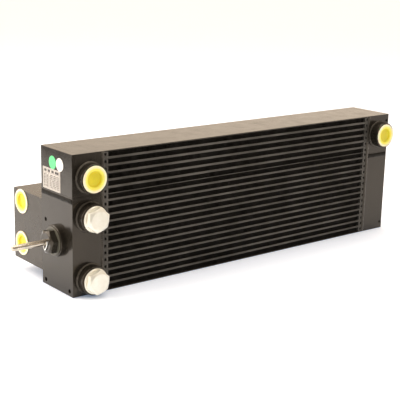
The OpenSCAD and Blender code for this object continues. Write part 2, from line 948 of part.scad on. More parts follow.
core_top_plate();
core_bottom_plate();
parting_sheets();
separator_plate();
oil_bars_front();
oil_bars_rear();
air_bars_left();
air_bars_right();
air_fins();
oil_turbulators();
left_upper_tank();
left_lower_tank();
right_upper_tank();
right_lower_tank();
left_top_cap();
left_bottom_cap();
right_top_cap();
right_bottom_cap();
left_divider();
right_divider();
valve_bridge();
pass_baffle();
upper_left_boss();
upper_right_boss();
middle_left_boss();
lower_left_boss();
port_block();
upper_left_port_cap();
upper_right_port_cap();
block_upper_port_cap();
block_lower_port_cap();
middle_hex_plug();
lower_hex_plug();
middle_plug_seal();
lower_plug_seal();
valve_boss();
valve_washer();
valve_body();
valve_stem();
valve_poppet();
valve_spring();
stem_seal();
stem_clip();
gallery_plug();
left_seam_weld();
right_seam_weld();
core_welds();
boss_welds();
block_welds();
rating_label();
green_dot();
white_dot();
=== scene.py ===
import json
import math
import random

import bmesh
import bpy
from mathutils import Matrix, Vector, noise


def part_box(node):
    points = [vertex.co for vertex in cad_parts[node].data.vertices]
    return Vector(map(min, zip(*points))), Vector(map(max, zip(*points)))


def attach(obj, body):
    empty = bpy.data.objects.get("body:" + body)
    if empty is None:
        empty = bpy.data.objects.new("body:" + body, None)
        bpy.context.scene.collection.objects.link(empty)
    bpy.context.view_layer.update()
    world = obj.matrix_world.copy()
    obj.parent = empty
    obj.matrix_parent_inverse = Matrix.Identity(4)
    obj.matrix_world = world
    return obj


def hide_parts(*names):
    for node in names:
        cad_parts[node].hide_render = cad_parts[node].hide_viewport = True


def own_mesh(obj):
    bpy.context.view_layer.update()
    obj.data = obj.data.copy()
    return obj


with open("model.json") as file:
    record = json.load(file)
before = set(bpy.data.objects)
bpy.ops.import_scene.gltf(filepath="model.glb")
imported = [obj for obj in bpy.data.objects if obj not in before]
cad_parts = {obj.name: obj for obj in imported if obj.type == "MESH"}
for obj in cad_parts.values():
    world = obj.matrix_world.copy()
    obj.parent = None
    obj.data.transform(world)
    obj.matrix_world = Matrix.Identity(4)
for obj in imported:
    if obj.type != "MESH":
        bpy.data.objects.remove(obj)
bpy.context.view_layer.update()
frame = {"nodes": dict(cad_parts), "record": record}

MM = 0.001
STATIC = "frame"
FRONT, REAR, LEFT, RIGHT = (Vector(v) for v in ((0, -1, 0), (0, 1, 0), (-1, 0, 0), (1, 0, 0)))
THREAD_PITCH = 25.4 / 12 * MM


# ---- Small helpers ----

def mid(node):
    low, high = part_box(node)
    return (low + high) / 2


def new_object(name, mesh):
    obj = bpy.data.objects.new(name, mesh)
    bpy.context.scene.collection.objects.link(obj)
    return obj


def object_from(name, bm):
    """Turns a bmesh into an object with outward normals."""
    bmesh.ops.recalc_face_normals(bm, faces=bm.faces)
    mesh = bpy.data.meshes.new(name)
    bm.to_mesh(mesh)
    bm.free()
    return new_object(name, mesh)


def apply_modifiers(obj):
    graph = bpy.context.evaluated_depsgraph_get()
    made = bpy.data.meshes.new_from_object(obj.evaluated_get(graph))
    obj.modifiers.clear()
    obj.data = made


def shade(obj, degrees=35):
    """Smooth shading, sharp past this angle. A flat face stays flat beside its rounded edges."""
    mesh = obj.data
    mesh.polygons.foreach_set("use_smooth", [True] * len(mesh.polygons))
    mesh.set_sharp_from_angle(angle=math.radians(degrees))
    weigh = obj.modifiers.new("weigh", "WEIGHTED_NORMAL")
    weigh.keep_sharp = True
    weigh.weight = 100
    apply_modifiers(obj)


def piece(obj, material, body=STATIC, nodes=(), angle=35):
    """Finishes a piece: shading, material, the body it rides on and the CAD nodes it stands for."""
    shade(obj, angle)
    obj.data.materials.clear()
    obj.data.materials.append(material)
    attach(obj, body)
    if nodes:
        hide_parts(*nodes)
    return obj


def along(point, axis):
    """Matrix that carries local Z onto an axis through a point, with local Y kept as close to up as it can be."""
    z = Vector(axis).normalized()
    up = Vector((0, 0, 1)) if abs(z.z) < 0.9 else Vector((0, 1, 0))
    x = up.cross(z).normalized()
    y = z.cross(x)
    turn = Matrix((x, y, z)).transposed().to_4x4()
    return Matrix.Translation(point) @ turn


# ---- Shapes ----

def add_box(bm, low, high):
    corners = [Vector((x, y, z)) for z in (low[2], high[2]) for y in (low[1], high[1]) for x in (low[0], high[0])]
    v = [bm.verts.new(c) for c in corners]
    for quad in ((0, 2, 3, 1), (4, 5, 7, 6), (0, 1, 5, 4), (2, 6, 7, 3), (0, 4, 6, 2), (1, 3, 7, 5)):
        bm.faces.new([v[i] for i in quad])


def block(name, low, high):
    bm = bmesh.new()
    add_box(bm, low, high)
    return object_from(name, bm)


def drill(name, point, axis, radius, length, steps=72):
    """A cutter for a round hole, from a point along an axis."""
    bm = bmesh.new()
    bmesh.ops.create_cone(
        bm, cap_ends=True, segments=steps, radius1=radius, radius2=radius, depth=length,
        matrix=along(point, axis) @ Matrix.Translation((0, 0, length / 2)),
    )
    return object_from(name, bm)


def carve(obj, cutters, bevel=0.5 * MM, segments=3):
    """Cuts the cutters out of a piece, then rounds all its edges."""
    for cutter in cutters:
        cut = obj.modifiers.new("cut", "BOOLEAN")
        cut.operation = "DIFFERENCE"
        cut.solver = "EXACT"
        cut.object = cutter
    soft = obj.modifiers.new("soft", "BEVEL")
    soft.width = bevel
    soft.segments = segments
    soft.limit_method = "ANGLE"
    soft.angle_limit = math.radians(40)
    soft.use_clamp_overlap = True
    apply_modifiers(obj)
    for cutter in cutters:
        bpy.data.objects.remove(cutter)
    return obj


def fillet(outline, closed, radius=0.35 * MM, steps=4):
    """Rounds each corner of an outline of (r, z) points. A third number is that corner's own radius."""
    count = len(outline)
    rounded = []
    for i, corner in enumerate(outline):
        if not closed and i in (0, count - 1):
            rounded.append(Vector(corner[:2]))
            continue
        b = Vector(corner[:2])
        u = Vector(outline[i - 1][:2]) - b
        v = Vector(outline[(i + 1) % count][:2]) - b
        own = corner[2] if len(corner) > 2 else radius
        half = u.angle(v) / 2
        if own <= 0 or half > math.radians(88):
            rounded.append(b)
            continue
        cut = min(own / math.tan(half), 0.45 * u.length, 0.45 * v.length)
        start, end = b + cut * u.normalized(), b + cut * v.normalized()
        for k in range(steps + 1):
            t = k / steps
            rounded.append((1 - t) ** 2 * start + 2 * t * (1 - t) * b + t * t * end)
    return rounded


def thread_rows(radius, start, end, depth, rows=6):
    """Points of a threaded stretch as (r, z, thread depth); the thread fades out at its ends."""
    steps = max(2, round(abs(end - start) / THREAD_PITCH * rows))
    fade = 0.6 * THREAD_PITCH
    points = []
    for i in range(steps + 1):
        z = start + (end - start) * i / steps
        edge = min(abs(z - start), abs(end - z)) / fade
        points.append((radius, z, depth * min(1, edge)))
    return points


def ridge(turns):
    """A thread's section: 0 at its crest and 1 at its root, with flats on both."""
    wave = 2 * abs(turns % 1 - 0.5)
    return min(1, max(0, (wave - 0.12) / 0.76))


def lathe(name, outline, point, axis, closed=False, steps=96):
    """Turns an outline of (r, z) points, or (r, z, thread depth), about an axis through a point."""
    bm = bmesh.new()
    place = along(point, axis)
    rings = []
    for row in outline:
        r, z = row[0], row[1]
        depth = row[2] if len(row) > 2 else 0
        if r < 1e-7:
            rings.append([bm.verts.new(place @ Vector((0, 0, z)))])
            continue
        ring = []
        for k in range(steps):
            a = 2 * math.pi * k / steps
            reach = r + (depth * ridge(z / THREAD_PITCH - k / steps) if depth else 0)
            ring.append(bm.verts.new(place @ Vector((reach * math.cos(a), reach * math.sin(a), z))))
        rings.append(ring)
    pairs = list(zip(rings, rings[1:]))
    if closed:
        pairs.append((rings[-1], rings[0]))
    for one, two in pairs:
        for k in range(steps):
            n = (k + 1) % steps
            if len(one) == 1 and len(two) == 1:
                break
            if len(one) == 1:
                bm.faces.new((one[0], two[k], two[n]))
            elif len(two) == 1:
                bm.faces.new((one[k], one[n], two[0]))
            else:
                bm.faces.new((one[k], one[n], two[n], two[k]))
    return object_from(name, bm)


def hex_radius(angle, across):
    """Distance from a hexagon's centre to its edge in a direction, in radians from a corner."""
    return across / 2 / math.cos(angle % (math.pi / 3) - math.pi / 6)


def hex_solid(name, across, height, point, axis, turn, dish=0.0, socket=None, steps=120):
    """A hexagon with its face chamfered round, as a lathe leaves it, and softened edges."""
    bm = bmesh.new()
    place = along(point, axis)
    face_r = across / 2 - 2.8 * MM
    slope = math.tan(math.radians(30))
    edge = 0.25 * MM

    def ring(radius_at, z_at):
        made = []
        for k in range(steps):
            a = 2 * math.pi * k / steps
            r = radius_at(a)
            made.append(bm.verts.new(place @ Vector((r * math.cos(a + turn), r * math.sin(a + turn), z_at(r)))))
        return made

    def wall(a):
        return hex_radius(a, across)

    def top(r):
        return height - max(0, r - face_r) * slope

    rings = [
        ring(wall, lambda r: 0),
        ring(wall, lambda r: top(r) - edge),
        ring(lambda a: wall(a) - edge, lambda r: top(r + edge) + edge * slope * 0.6),
        ring(lambda a: face_r + 0.15 * MM, lambda r: height - 0.08 * MM),
        ring(lambda a: face_r - 0.3 * MM, lambda r: height),
    ]
    inner = socket[0] if socket else 4 * MM
    rings.append(ring(lambda a: inner + 0.3 * MM, lambda r: height - dish))
    if socket:
        rings.append(ring(lambda a: inner, lambda r: height - dish - 0.3 * MM))
        rings.append(ring(lambda a: inner, lambda r: height - socket[1]))
    for one, two in zip(rings, rings[1:]):
        for k in range(steps):
            n = (k + 1) % steps
            bm.faces.new((one[k], one[n], two[n], two[k]))
    for ends in (rings[0], rings[-1]):
        bm.faces.new(ends)
    return object_from(name, bm)


def swept(bm, path, tangents, ups, section, closed=False):
    """Sweeps a section along a path. section(i, share) gives its points as (across, up), and share runs from 0 to 1."""
    rings = []
    count = len(path)
    for i, (p, t, up) in enumerate(zip(path, tangents, ups)):
        side = t.cross(up).normalized()
        rings.append([bm.verts.new(p + side * s + up * h) for s, h in section(i, i / (count - 1))])
    pairs = list(zip(rings, rings[1:]))
    if closed:
        pairs.append((rings[-1], rings[0]))
    for one, two in pairs:
        size = len(one)
        for k in range(size):
            n = (k + 1) % size
            bm.faces.new((one[k], one[n], two[n], two[k]))
    if not closed:
        bm.faces.new(rings[0])
        bm.faces.new(rings[-1])


def bead_section(width, height, ripple, spacing, step, seed, closed, across=9):
    """Section of a weld bead whose crescent ripples follow each other every `spacing` along it."""
    def section(i, share):
        place = i * step
        ends = 1 if closed else min(1, math.sqrt(max(0.02, min(share, 1 - share) * 40)))
        wander = noise.noise(Vector((place * 90, seed, 0)))
        points = []
        for k in range(across):
            u = 2 * k / (across - 1) - 1
            phase = (place / spacing + 0.45 * u * u + 0.25 * wander) % 1
            scale = 1 - ripple * (1 - math.sin(math.pi * phase) ** 0.5)
            lift = height * max(0, 1 - u * u) ** 0.5 * scale * ends
            lift *= 1 + 0.22 * noise.noise(Vector((place * 260, seed + 3, u * 2)))
            points.append((u * width / 2 * (1 + 0.16 * wander), lift))
        points.append((width * 0.42, -0.5 * MM))
        points.append((-width * 0.42, -0.5 * MM))
        return points
    return section


def straight_bead(bm, start, end, up, width, height, seed, ripple=0.3, spacing=3.2 * MM):
    run = end - start
    count = max(12, round(run.length / (spacing / 6)))
    step = run.length / count
    path = [start + run * i / count for i in range(count + 1)]
    tangent = run.normalized()
    section = bead_section(width, height, ripple, spacing, step, seed, False)
    swept(bm, path, [tangent] * len(path), [Vector(up)] * len(path), section)


def ring_bead(bm, point, axis, radius, width, height, seed, ripple=0.28, spacing=2.4 * MM):
    """A bead in the corner between a round boss and the face that it stands on."""
    place = along(point, axis)
    count = max(24, round(math.tau * radius / (spacing / 6)))
    path, tangents, ups = [], [], []
    for i in range(count):
        a = math.tau * i / count
        out = Vector((math.cos(a), math.sin(a), 0))
        path.append(place @ (out * radius))
        tangents.append((place.to_3x3() @ Vector((-math.sin(a), math.cos(a), 0))).normalized())
        ups.append((place.to_3x3() @ (out + Vector((0, 0, 1)))).normalized())
    step = math.tau * radius / count
    section = bead_section(width, height, ripple, spacing, step, seed, True)
    swept(bm, path, tangents, ups, section, closed=True)


def join(name, *objects):
    bm = bmesh.new()
    for obj in objects:
        bm.from_mesh(obj.data)
        bpy.data.objects.remove(obj)
    mesh = bpy.data.meshes.new(name)
    bm.to_mesh(mesh)
    bm.free()
    return new_object(name, mesh)


# ---- Materials ----

class Nodes:
    """A material with one Principled shader, and short names for the nodes that feed it."""

    def __init__(self, name):
        self.material = bpy.data.materials.new(name)
        self.material.use_nodes = True
        self.tree = self.material.node_tree
        self.tree.nodes.clear()
        out = self.add("ShaderNodeOutputMaterial")
        self.shader = self.add("ShaderNodeBsdfPrincipled")
        self.link(self.shader.outputs[0], out.inputs[0])
        self.place = self.add("ShaderNodeTexCoord").outputs["Object"]

    def add(self, kind):
        return self.tree.nodes.new(kind)

    def link(self, a, b):
        self.tree.links.new(a, b)

    def noise(self, scale, detail=2.0, rough=0.5, stretch=(1, 1, 1), warp=0.0):
        spot = self.add("ShaderNodeMapping")
        spot.inputs["Scale"].default_value = stretch
        self.link(self.place, spot.inputs["Vector"])
        made = self.add("ShaderNodeTexNoise")
        made.inputs["Scale"].default_value = scale
        made.inputs["Detail"].default_value = detail
        made.inputs["Roughness"].default_value = rough
        made.inputs["Distortion"].default_value = warp
        self.link(spot.outputs[0], made.inputs["Vector"])
        return made.outputs[0]

    def remap(self, value, low, high, to_low=0.0, to_high=1.0):
        made = self.add("ShaderNodeMapRange")
        for name, number in zip(("From Min", "From Max", "To Min", "To Max"), (low, high, to_low, to_high)):
            made.inputs[name].default_value = number
        self.link(value, made.inputs["Value"])
        return made.outputs[0]

    def times(self, a, b):
        made = self.add("ShaderNodeMath")
        made.operation = "MULTIPLY"
        self.link(a, made.inputs[0])
        self.link(b, made.inputs[1])
        return made.outputs[0]

    def blend(self, factor, one, two):
        """Mixes two colours, each a tuple or another node's output."""
        made = self.add("ShaderNodeMix")
        made.data_type = "RGBA"
        self.link(factor, made.inputs[0])
        for socket, colour in ((made.inputs[6], one), (made.inputs[7], two)):
            if isinstance(colour, tuple):
                socket.default_value = (*colour, 1)
            else:
                self.link(colour, socket)
        return made.outputs[2]

    def relief(self, *layers):
        """Bump from (height output, distance in mm) layers, one over another."""
        normal = None
        for height, distance in layers:
            made = self.add("ShaderNodeBump")
            made.inputs["Distance"].default_value = distance * MM
            self.link(height, made.inputs["Height"])
            if normal:
                self.link(normal, made.inputs["Normal"])
            normal = made.outputs[0]
        self.link(normal, self.shader.inputs["Normal"])

    def colour(self, output):
        self.link(output, self.shader.inputs["Base Color"])

    def roughness(self, output):
        self.link(output, self.shader.inputs["Roughness"])


def sockets(shader, values):
    for name, value in values.items():
        shader.inputs[name].default_value = value


def paint(name, dark, light, rough=(0.22, 0.36), peel=0.05, dust=0.25, gloss=0.5):
    """Sprayed paint: orange peel, uneven gloss, faint mottling and a little settled dust."""
    m = Nodes(name)
    mottle = m.remap(m.noise(14, 4, 0.6), 0.35, 0.65)
    body = m.blend(mottle, dark, light)
    specks = m.remap(m.noise(2600, 1, 0.5), 0.66, 0.74)
    patches = m.remap(m.noise(60, 3, 0.6), 0.45, 0.7, 0.0, dust)
    dusty = tuple(min(1, c * 2.2 + 0.05) for c in light)
    m.colour(m.blend(m.times(specks, patches), body, dusty))
    m.roughness(m.remap(m.noise(38, 5, 0.65), 0.3, 0.7, *rough))
    m.relief((m.noise(420, 2, 0.5), peel), (m.noise(70, 2, 0.5), peel * 2.2))
    sockets(m.shader, {"Metallic": 0.0, "IOR": 1.5, "Specular IOR Level": gloss})
    sockets(m.shader, {"Specular Tint": (1.0, 0.87, 0.73, 1)})
    return m.material


def plated(name, one, two, rough, lines=None, metallic=1.0):
    """Plated or ground steel. lines is a stretch for fine grinding marks."""
    m = Nodes(name)
    cloud = m.remap(m.noise(90, 4, 0.6), 0.3, 0.7)
    m.colour(m.blend(cloud, one, two))
    marks = m.noise(900, 3, 0.6, lines or (1, 1, 1))
    m.roughness(m.remap(marks, 0.3, 0.7, *rough))
    m.relief((marks, 0.02), (m.noise(160, 2, 0.5), 0.03))
    sockets(m.shader, {"Metallic": metallic, "Anisotropic": 0.3 if lines else 0.0})
    return m.material


def cap_plastic(name):
    """Thin moulded plastic, by the mesh's rim attribute: paler towards its thin rim, and a deeper yellow in its recess,
    which is painted shade for the light bounced round inside it.
    """
    m = Nodes(name)
    reach = m.add("ShaderNodeAttribute")
    reach.attribute_name = "rim"
    share = reach.outputs["Fac"]
    mottle = m.remap(m.noise(45, 3, 0.5, warp=0.6), 0.3, 0.7)
    # The recess colour is painted shade: the saturated yellow of light bounced round inside the recess.
    recess_shade = m.blend(mottle, (0.66, 0.55, 0.006), (0.76, 0.64, 0.010))
    bright = m.blend(mottle, (0.88, 0.80, 0.09), (0.95, 0.88, 0.15))
    pale = m.blend(mottle, (0.90, 0.83, 0.54), (0.95, 0.89, 0.64))
    inner = m.blend(m.remap(share, 0.56, 0.68), recess_shade, bright)
    m.colour(m.blend(m.remap(share, 0.74, 0.9), inner, pale))
    m.roughness(m.remap(m.noise(150, 3, 0.5), 0.3, 0.7, 0.28, 0.42))
    m.relief((m.noise(900, 2, 0.5), 0.012), (m.noise(120, 2, 0.5), 0.05))
    sockets(m.shader, {"Metallic": 0.0, "IOR": 1.5, "Subsurface Weight": 0.25, "Subsurface Scale": 1.5 * MM})
    return m.material


def rubber(name):
    m = Nodes(name)
    m.colour(m.blend(m.remap(m.noise(500, 3), 0.3, 0.7), (0.012, 0.012, 0.012), (0.03, 0.03, 0.032)))
    m.roughness(m.remap(m.noise(300, 3), 0.3, 0.7, 0.5, 0.75))
    m.relief((m.noise(1500, 2), 0.02))
    return m.material


def film(name, one, two):
    """Printed film or paper, with a faint fibre."""
    m = Nodes(name)
    m.colour(m.blend(m.remap(m.noise(220, 4, 0.6, (1, 1, 4)), 0.3, 0.7), one, two))
    m.roughness(m.remap(m.noise(90, 3), 0.3, 0.7, 0.3, 0.5))
    m.relief((m.noise(1300, 2), 0.01), (m.noise(60, 2), 0.06))
    return m.material


BLACK = paint("black_paint", (0.010, 0.0085, 0.0065), (0.017, 0.0145, 0.011), (0.14, 0.24), 0.03, 0.18)
CAST_BLACK = paint("block_paint", (0.020, 0.017, 0.013), (0.032, 0.027, 0.021), (0.22, 0.34), 0.05, 0.18)
WELD = paint("weld_paint", (0.010, 0.009, 0.007), (0.05, 0.045, 0.037), (0.12, 0.34), 0.10, 0.4)
# The seam paint is near black and dull: painted shade for the gaps and undercuts along the seam welds.
SHADED_SEAM = paint("seam_paint_with_painted_shade", (0.003, 0.0026, 0.002), (0.010, 0.009, 0.007), (0.3, 0.6), 0.2, 0.3, 0.12)
# The bar paint is black paint lightened to grey: a painted sheen for the light that the rounded bar edges reflect.
LIT_BAR = paint("bar_paint_with_painted_sheen", (0.03, 0.029, 0.026), (0.085, 0.081, 0.074), (0.3, 0.5), 0.1, 0.5)
# The fin paint is darker than the header paint: painted shade for the deep air passages.
SHADED_FIN = paint("fin_paint_with_painted_shade", (0.003, 0.003, 0.0026), (0.008, 0.0075, 0.0065), (0.4, 0.6), 0.02, 0.2)
VALVE = paint("valve_paint", (0.010, 0.009, 0.0075), (0.020, 0.018, 0.014), (0.12, 0.22), 0.03, 0.2)
ALUMINIUM = plated("bare_aluminium", (0.62, 0.61, 0.59), (0.76, 0.75, 0.73), (0.3, 0.5))
ZINC = plated("zinc_plate", (0.80, 0.76, 0.64), (0.88, 0.85, 0.75), (0.3, 0.46), metallic=0.55)
STEM = plated("ground_steel", (0.48, 0.42, 0.34), (0.70, 0.63, 0.53), (0.14, 0.28), (1, 12, 12))
WIRE = plated("bright_wire", (0.82, 0.81, 0.77), (0.95, 0.94, 0.90), (0.2, 0.35))
WASHER = paint("washer_paint", (0.05, 0.048, 0.036), (0.09, 0.086, 0.066), (0.25, 0.4), 0.05)
YELLOW = cap_plastic("yellow_plastic")
SEAL = rubber("nitrile_rubber")
LABEL = film("label_film", (0.55, 0.50, 0.44), (0.63, 0.58, 0.52))
RULES = film("label_rules", (0.035, 0.028, 0.024), (0.07, 0.058, 0.05))
GREEN = film("green_paint", (0.09, 0.62, 0.20), (0.14, 0.72, 0.28))
WHITE = film("white_paper", (0.80, 0.76, 0.70), (0.88, 0.85, 0.80))


# ---- Places read from the frame ----

LEFT_X, RIGHT_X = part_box("left_lower_tank")[0].x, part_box("right_lower_tank")[1].x
FRONT_Y, REAR_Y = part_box("left_lower_tank")[0].y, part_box("left_lower_tank")[1].y
CORE_LEFT, CORE_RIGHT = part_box("parting_sheets")[0].x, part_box("parting_sheets")[1].x
TOP_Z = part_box("left_upper_tank")[1].z
END_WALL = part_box("left_top_cap")[0].x - LEFT_X
SIDE_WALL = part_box("left_top_cap")[0].y - FRONT_Y
BOSSES = ("upper_left_boss", "middle_left_boss", "lower_left_boss", "upper_right_boss")
BORE_R = [m["dims"]["r_mm"] for m in frame["record"]["mounts"] if m["name"] == "upper_left_port"][0] * MM
MOUTH_R, MOUTH_DEPTH = 18 * MM, 4 * MM
THREAD_DEPTH = 1.0 * MM
SPIGOT_R, PASSAGE_R, PASSAGE_INSET = 19 * MM, 12 * MM, 17 * MM
HEX_ACROSS = 36 * MM
VALVE_BORE_R = 15.1 * MM
BOLT_R, BOLT_DEPTH = 3.4 * MM, 11 * MM
SCREW_R, SCREW_DEPTH = 2.1 * MM, 12 * MM
GALLERY_R, GALLERY_DEPTH = 3.5 * MM, 6.2 * MM
CUT_PAST = 1 * MM
VALVE_AT = Vector((LEFT_X, mid("valve_stem").y, mid("valve_stem").z))


def centre_on_front(node):
    c = mid(node)
    return Vector((c.x, FRONT_Y, c.z))


# ---- Core ----

def casing(name, node, bevel, material=BLACK):
    obj = carve(block(name, *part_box(node)), [], bevel)
    return piece(obj, material, nodes=[node])


def rounded_bar(bm, low, high, bevel, wander, seed, cuts=60):
    """A long bar along X whose section has rounded corners and whose front and rear edges are not quite straight."""
    y0, y1, z0, z1 = low.y, high.y, low.z, high.z
    rings = []
    for i in range(cuts + 1):
        x = low.x + (high.x - low.x) * i / cuts
        n = wander * noise.noise(Vector((x * 40, seed, 0)))
        m = wander * noise.noise(Vector((x * 40, seed, 9)))
        front, rear = y0 + abs(n), y1 - abs(m)
        corners = (
            (front, z0 + bevel), (front + bevel, z0), (rear - bevel, z0), (rear, z0 + bevel),
            (rear, z1 - bevel), (rear - bevel, z1), (front + bevel, z1), (front, z1 - bevel),
        )
        rings.append([bm.verts.new((x, y, z)) for y, z in corners])
    for one, two in zip(rings, rings[1:]):
        for k in range(8):
            bm.faces.new((one[k], one[(k + 1) % 8], two[(k + 1) % 8], two[k]))
    bm.faces.new(rings[0])
    bm.faces.new(rings[-1])


def levels(node):
    """Lowest and highest corners of each separate solid in a node, from the bottom up."""
    mesh = frame["nodes"][node].data
    bm = bmesh.new()
    bm.from_mesh(mesh)
    bmesh.ops.remove_doubles(bm, verts=bm.verts, dist=1e-6)
    left, found = set(bm.verts), []
    while left:
        seed = left.pop()
        island, queue = [seed], [seed]
        while queue:
            v = queue.pop()
            for e in v.link_edges:
                o = e.other_vert(v)
                if o in left:
                    left.discard(o)
                    island.append(o)
                    queue.append(o)
        low = Vector([min(v.co[i] for v in island) for i in range(3)])
        high = Vector([max(v.co[i] for v in island) for i in range(3)])
        found.append((low, high))
    bm.free()
    return sorted(found, key=lambda pair: pair[0].z)


def stacked_bars(name, node, bevel, wander, recess, material):
    bm = bmesh.new()
    for i, (low, high) in enumerate(levels(node)):
        inset = Vector((0, recess, 0))
        rounded_bar(bm, low + inset, high - inset, bevel, wander, i * 1.7)
    return piece(object_from(name, bm), material, nodes=[node])


def hollow_bars(name, node, hollow=(4 * MM, 5 * MM), bevel=0.3 * MM):
    """Short bars with a slot through them, as extruded bar stock has."""
    bm = bmesh.new()
    for low, high in levels(node):
        cx, cz = (low.x + high.x) / 2, (low.z + high.z) / 2
        outer = ((high.x - low.x) / 2, (high.z - low.z) / 2)
        inner = (hollow[0] / 2, hollow[1] / 2)
        y0, y1 = low.y + 0.15 * MM, high.y - 0.15 * MM
        loops = (
            (outer, bevel, y0), (outer, 0, y0 + bevel), (outer, 0, y1 - bevel), (outer, bevel, y1),
            (inner, -bevel, y1), (inner, 0, y1 - bevel), (inner, 0, y0 + bevel), (inner, -bevel, y0),
        )
        rings = []
        for (w, h), cut, y in loops:
            w, h, r = w - cut, h - cut, 0.8 * MM
            points = []
            for sx, sz in ((1, 1), (-1, 1), (-1, -1), (1, -1)):
                ends = [(sx * w, sz * (h - r)), (sx * (w - r), sz * h)]
                points += ends if sx * sz > 0 else ends[::-1]
            rings.append([bm.verts.new((cx + px, y, cz + pz)) for px, pz in points])
        for one, two in zip(rings, rings[1:] + rings[:1]):
            for k in range(8):
                bm.faces.new((one[k], one[(k + 1) % 8], two[(k + 1) % 8], two[k]))
    # Lightened bar paint: a painted sheen of the rounded bar edges.
    return piece(object_from(name, bm), LIT_BAR, nodes=[node])


def fin_rows(name, share_from, share_to, offset, pitch=3.1 * MM, sheet=0.16 * MM, nodes=()):
    """One row, through part of the core's depth, of the folded fins in every air passage."""
    bm = bmesh.new()
    chance = random.Random(7 + int(share_from * 100))
    for low, high in levels("air_fins"):
        waves = int((high.x - low.x - 2 * sheet) / pitch)
        y0 = low.y + (high.y - low.y) * share_from
        y1 = low.y + (high.y - low.y) * share_to
        sides = []
        for s in (-1, 1):
            line = []
            for k in range(2 * waves - 1):
                x = low.x + sheet + (k + offset + 0.5) * pitch / 2 + chance.uniform(-0.04, 0.04) * pitch
                up = k % 2 == 0
                lean = 0.10 * pitch * (1 if up else -1)
                ends = ((low.z if up else high.z), (high.z if up else low.z))
                for z, dx in zip(ends, (-lean, lean)):
                    inside = sheet if z == low.z else -sheet
                    line.append((x + dx + s * sheet / 2 * (-1 if up else 1), z + inside / 2 * (1 + s)))
            sides.append(line)
        rows = []
        for y in (y0, y1):
            rows.append([[bm.verts.new((x, y, z)) for x, z in line] for line in sides])
        (a0, b0), (a1, b1) = rows
        for k in range(len(a0) - 1):
            bm.faces.new((a0[k], a0[k + 1], a1[k + 1], a1[k]))
            bm.faces.new((b0[k + 1], b0[k], b1[k], b1[k + 1]))
            bm.faces.new((a0[k + 1], a0[k], b0[k], b0[k + 1]))
            bm.faces.new((a1[k], a1[k + 1], b1[k + 1], b1[k]))
        for k in (0, -1):
            bm.faces.new((a0[k], a1[k], b1[k], b0[k]))
    obj = object_from(name, bm)
    # The fins take the darkened fin paint, a painted shade of the deep passages.
    return piece(obj, SHADED_FIN, nodes=nodes, angle=20)


casing("top_plate", "core_top_plate", 0.25 * MM)
casing("bottom_plate", "core_bottom_plate", 0.25 * MM)
# The separator, bars and sheets take the lightened bar paint, a painted sheen.
casing("circuit_separator", "separator_plate", 0.2 * MM, LIT_BAR)
stacked_bars("front_oil_bars", "oil_bars_front", 0.45 * MM, 0.12 * MM, 0, LIT_BAR)
stacked_bars("rear_oil_bars", "oil_bars_rear", 0.45 * MM, 0.12 * MM, 0, LIT_BAR)
stacked_bars("brazed_sheets", "parting_sheets", 0.15 * MM, 0.1 * MM, 0.25 * MM, LIT_BAR)
hollow_bars("left_air_bars", "air_bars_left")
hollow_bars("right_air_bars", "air_bars_right")
fin_rows("front_fins", 0.0, 0.14, 0, nodes=["air_fins"])
fin_rows("middle_fins", 0.14, 0.86, 0.5)
fin_rows("rear_fins", 0.86, 1.0, 0)
frame["nodes"]["oil_turbulators"].data.materials.clear()
frame["nodes"]["oil_turbulators"].data.materials.append(ALUMINIUM)


# ---- Header tanks ----

def tank_cutters(node):
    """What is cut from a solid tank: its hollow, the laps of the core's plates and its bosses' holes."""
    low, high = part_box(node)
    left = low.x < 0
    inner = [low.x + END_WALL, high.x + CUT_PAST] if left else [low.x - CUT_PAST, high.x - END_WALL]
    cutters = [block(
        "hollow", (inner[0], low.y + SIDE_WALL, low.z - CUT_PAST), (inner[1], high.y - SIDE_WALL, high.z + CUT_PAST),
    )]
    for plate in ("core_top_plate", "core_bottom_plate"):
        a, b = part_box(plate)
        if a.z < high.z and b.z > low.z:
            out = CUT_PAST if plate == "core_top_plate" else -CUT_PAST
            z0, z1 = min(a.z, a.z + out), max(b.z, b.z + out)
            cutters.append(block("lap", (a.x, low.y - CUT_PAST, z0), (b.x, high.y + CUT_PAST, z1)))
    for boss in BOSSES:
        c = centre_on_front(boss)
        if low.x < c.x < high.x and low.z < c.z < high.z:
            cutters.append(drill("spigot", c + CUT_PAST * FRONT, REAR, SPIGOT_R, SIDE_WALL + 2 * CUT_PAST))
    return cutters


def blind_hole(point, axis, radius, depth):
    """Drilled hole with a countersunk mouth and a drill point, as one cutter."""
    outline = [
        (0, CUT_PAST), (radius + 0.5 * MM + CUT_PAST, CUT_PAST), (radius, -0.5 * MM),
        (radius, -depth), (0, -depth - 0.5 * radius),
    ]
    return lathe("hole", outline, point, axis, steps=32)


def bolt_holes(mount_name, radius, depth):
    m = [x for x in frame["record"]["mounts"] if x["name"] == mount_name][0]
    spread = m["dims"]
    if "spacing_x_mm" in spread:
        step = Vector((0, spread["spacing_x_mm"], 0))
    else:
        step = Vector((0, 0, spread["spacing_y_mm"]))
    return [blind_hole(Vector(m["pos_m"]) + s * step * MM / 2, m["axis"], radius, depth) for s in (-1, 1)]


def tank(name, node, extra=()):
    obj = carve(block(name, *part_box(node)), tank_cutters(node) + list(extra), 0.45 * MM)
    return piece(obj, BLACK, nodes=[node])


